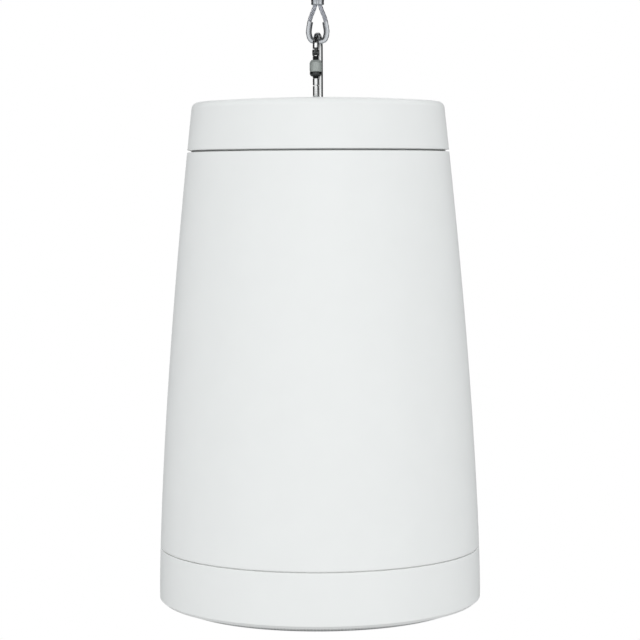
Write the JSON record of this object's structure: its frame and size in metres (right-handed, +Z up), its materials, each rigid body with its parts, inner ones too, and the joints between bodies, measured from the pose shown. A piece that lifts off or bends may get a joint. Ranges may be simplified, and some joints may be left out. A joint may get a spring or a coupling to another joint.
{
  "type": "pendant loudspeaker",
  "caption": "Round white pendant loudspeaker on a wire rope, with a screw-lock carabiner, a lifting eye and a perforated grille underneath.",
  "frame": {"origin": "middle of the ceiling fitting's flat top face, on the rope's axis", "axes": "+Z up along the rope, -Y towards the viewer in the picture, +X to the viewer's right"},
  "size_m": [0.24, 0.24, 0.5139],
  "materials": {
    "white_moulding": "fine satin off-white moulding",
    "white_paint": "satin off-white powder coat",
    "polished_steel": "polished steel",
    "knurled_steel": "ribbed steel",
    "zinc_steel": "bright zinc plate",
    "aluminium": "pressed aluminium",
    "dark_steel": "blackened steel",
    "black_plastic": "matt black moulding",
    "black_rubber": "black rubber",
    "ferrite": "dark ferrite",
    "cone_paper": "grey-black coated paper",
    "spider_cloth": "resin-stiffened amber cloth",
    "wadding": "white polyester wadding",
    "copper": "enamelled copper winding",
    "board": "green circuit board"
  },
  "bodies": {
    "suspension": {"ceiling_fitting": "zinc_steel", "clamp_screw": "dark_steel", "suspension_rope": "zinc_steel", "ferrule": "aluminium", "thimble": "zinc_steel"},
    "carabiner": {"carabiner_frame": "polished_steel", "gate_rivet": "dark_steel"},
    "gate": {"carabiner_gate": "polished_steel"},
    "lock_sleeve": {"lock_sleeve": "knurled_steel"},
    "cone": {"woofer_cone": "cone_paper", "voice_coil": "aluminium"},
    "tap_knob": {"tap_knob": "black_plastic", "tap_shaft": "aluminium"},
    "cabinet": {"lifting_eye": "polished_steel", "load_plate": "zinc_steel", "eye_washer": "zinc_steel", "eye_nut": "zinc_steel", "top_cap": "white_moulding", "cap_screw_1": "dark_steel", "cap_screw_2": "dark_steel", "cap_screw_3": "dark_steel", "cable_grommet": "black_rubber", "enclosure": "white_moulding", "bezel": "white_moulding", "bezel_screw_1": "dark_steel", "bezel_screw_2": "dark_steel", "bezel_screw_3": "dark_steel", "bezel_screw_4": "dark_steel", "grille": "white_paint", "baffle": "black_plastic", "baffle_gasket": "black_rubber", "port_tube_left": "black_plastic", "port_tube_right": "black_plastic", "woofer_basket": "dark_steel", "woofer_screw_1": "dark_steel", "woofer_screw_2": "dark_steel", "woofer_screw_3": "dark_steel", "woofer_screw_4": "dark_steel", "surround": "black_rubber", "spider": "spider_cloth", "front_plate": "zinc_steel", "magnet": "ferrite", "back_plate": "zinc_steel", "tweeter_body": "black_plastic", "tweeter_dome": "aluminium", "input_panel": "black_plastic", "panel_screw_1": "dark_steel", "panel_screw_2": "dark_steel", "terminal_block": "black_plastic", "terminal_screw_1": "aluminium", "terminal_screw_2": "aluminium", "tap_switch_body": "black_plastic", "transformer_core": "dark_steel", "transformer_coil": "copper", "crossover_board": "board", "inductor": "copper", "capacitor_left": "aluminium", "capacitor_right": "aluminium", "damping_wadding": "wadding"}
  },
  "joints": [
    {"name": "carabiner_swing", "type": "hinge", "parent": "suspension", "child": "carabiner", "pos_m": [0, 0, -0.095], "axis": [1, 0, 0], "range_deg": [-45, 45]},
    {"name": "cabinet_swing", "type": "hinge", "parent": "carabiner", "child": "cabinet", "pos_m": [0, 0, -0.14325], "axis": [0, 1, 0], "range_deg": [-30, 30]},
    {"name": "gate_hinge", "type": "hinge", "parent": "carabiner", "child": "gate", "pos_m": [-0.00149, -0.00938, -0.10325], "axis": [0.9877, -0.1564, 0], "range_deg": [0, 25], "stiffness_Nm_per_rad": 0.04, "springref_deg": -11.46},
    {"name": "lock_sleeve_travel", "type": "slide", "parent": "gate", "child": "lock_sleeve", "axis": [0, 0, 1], "range_m": [-0.011, 0]},
    {"name": "cone_stroke", "type": "slide", "parent": "cabinet", "child": "cone", "axis": [0, 0, 1], "range_m": [-0.004, 0.004], "stiffness_N_per_m": 1500, "deforming": ["surround", "spider"]},
    {"name": "tap_turn", "type": "hinge", "parent": "cabinet", "child": "tap_knob", "pos_m": [0.046, -0.046, -0.15], "axis": [0, 0, 1], "range_deg": [-150, 150]}
  ]
}
